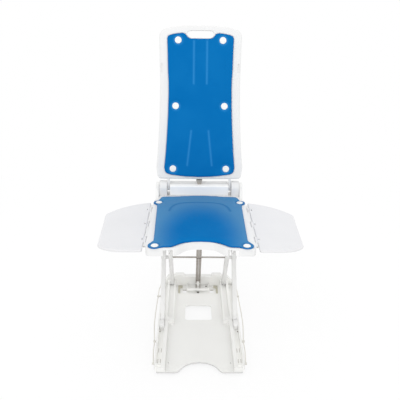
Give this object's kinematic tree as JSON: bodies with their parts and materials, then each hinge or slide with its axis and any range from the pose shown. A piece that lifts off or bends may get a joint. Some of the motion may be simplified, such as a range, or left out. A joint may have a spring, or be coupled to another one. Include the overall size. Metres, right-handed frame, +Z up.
{
  "type": "electric floor lift",
  "caption": "Reclining seat lift on a scissor frame: suction-footed base, crossed arms, padded seat with fold-up side flaps and a padded backrest with a hand slot.",
  "frame": {"origin": "on the floor under the middle of the bounding box", "axes": "+Z up, front towards -Y, +X to the right of someone who looks at its front"},
  "size_m": [0.7324, 0.727, 1.1538],
  "materials": {
    "white_plastic": "satin moulded",
    "base_plastic": "fine grain",
    "flap_plastic": "fine grain",
    "blue_pad": "wipeable padded cover",
    "steel": "brushed",
    "dark_steel": "dull",
    "rubber": "matt",
    "cord_white": "braided",
    "tan_plastic": "matt",
    "grey_plastic": "matt",
    "brass": "turned"
  },
  "bodies": {
    "base": {"base_plate": "base_plastic", "suction_cup_front_left": "rubber", "suction_cup_front_right": "rubber", "suction_cup_rear_left": "rubber", "suction_cup_rear_right": "rubber", "lever_bracket": "white_plastic", "lever_foot_pin": "steel", "inner_foot_pin_left": "steel", "inner_foot_pin_right": "steel", "release_cord_left": "cord_white", "release_cord_right": "cord_white"},
    "inner_frame": {"inner_arm_left": "white_plastic", "inner_arm_right": "white_plastic", "cross_shaft": "steel", "lever_bar_left": "steel", "lever_bar_right": "steel", "lever_top_pin": "steel", "inner_top_pin_left": "steel", "inner_top_pin_right": "steel"},
    "outer_frame": {"outer_arm_left": "white_plastic", "outer_arm_right": "white_plastic", "arm_spacer_left": "white_plastic", "arm_spacer_right": "white_plastic", "outer_foot_pin_left": "steel", "outer_foot_pin_right": "steel"},
    "foot_sliders": {"foot_slider_left": "white_plastic", "foot_slider_right": "white_plastic"},
    "carriage": {"drive_carriage": "grey_plastic", "spindle_nut": "brass"},
    "seat": {"seat_plate": "white_plastic", "seat_cover": "blue_pad", "seat_clip_front_left": "white_plastic", "seat_clip_front_right": "white_plastic", "seat_clip_rear_left": "white_plastic", "seat_clip_rear_right": "white_plastic", "rear_shaft": "steel", "gearbox": "grey_plastic", "drive_motor": "dark_steel", "motor_cover": "white_plastic", "spindle_bearing": "white_plastic", "back_hinge_pin_left": "steel", "back_hinge_pin_right": "steel", "hinge_cheek_left": "base_plastic", "hinge_cheek_right": "base_plastic", "flap_pin_left": "steel", "flap_pin_right": "steel", "handset_socket": "grey_plastic", "rear_beam": "white_plastic", "back_buffer": "tan_plastic"},
    "spindle": {"lift_spindle": "steel"},
    "flap_left": {"side_flap_left": "flap_plastic"},
    "flap_right": {"side_flap_right": "flap_plastic"},
    "backrest": {"backrest_plate": "white_plastic", "back_cover": "blue_pad", "back_clip_lower_left": "white_plastic", "back_clip_lower_right": "white_plastic", "back_clip_middle_left": "white_plastic", "back_clip_middle_right": "white_plastic", "back_clip_upper_left": "white_plastic", "back_clip_upper_right": "white_plastic"}
  },
  "joints": [
    {"name": "lift", "type": "hinge", "parent": "base", "child": "inner_frame", "pos_m": [0, 0.2, 0.038], "axis": [1, 0, 0], "range_deg": [0, 53.5]},
    {"name": "arm_crossing", "type": "hinge", "parent": "inner_frame", "child": "outer_frame", "pos_m": [0, 0.062, 0.239], "axis": [-1, 0, 0], "range_deg": [0, 107]},
    {"name": "seat_level", "type": "hinge", "parent": "outer_frame", "child": "seat", "pos_m": [0, 0.2, 0.44], "axis": [1, 0, 0], "range_deg": [0, 53.5]},
    {"name": "carriage_turn", "type": "hinge", "parent": "inner_frame", "child": "carriage", "pos_m": [0, -0.076, 0.44], "axis": [-1, 0, 0], "range_deg": [0, 53.5]},
    {"name": "foot_slider_turn", "type": "hinge", "parent": "outer_frame", "child": "foot_sliders", "pos_m": [0, -0.076, 0.038], "axis": [1, 0, 0], "range_deg": [0, 53.5]},
    {"name": "spindle_spin", "type": "hinge", "parent": "seat", "child": "spindle", "pos_m": [0, 0, 0.446], "axis": [0, 1, 0], "continuous": true},
    {"name": "backrest_recline", "type": "hinge", "parent": "seat", "child": "backrest", "pos_m": [0, 0.222, 0.488], "axis": [-1, 0, 0], "range_deg": [-95, 39]},
    {"name": "flap_left_fold", "type": "hinge", "parent": "seat", "child": "flap_left", "pos_m": [-0.1945, 0, 0.4525], "axis": [0, 1, 0], "range_deg": [0, 88]},
    {"name": "flap_right_fold", "type": "hinge", "parent": "seat", "child": "flap_right", "pos_m": [0.1945, 0, 0.4525], "axis": [0, -1, 0], "range_deg": [0, 88]}
  ],
  "couplings": [
    {"joint": "arm_crossing", "follows": "lift", "ratio": 2},
    {"joint": "seat_level", "follows": "lift", "ratio": 1},
    {"joint": "carriage_turn", "follows": "lift", "ratio": 1},
    {"joint": "foot_slider_turn", "follows": "lift", "ratio": 1}
  ]
}
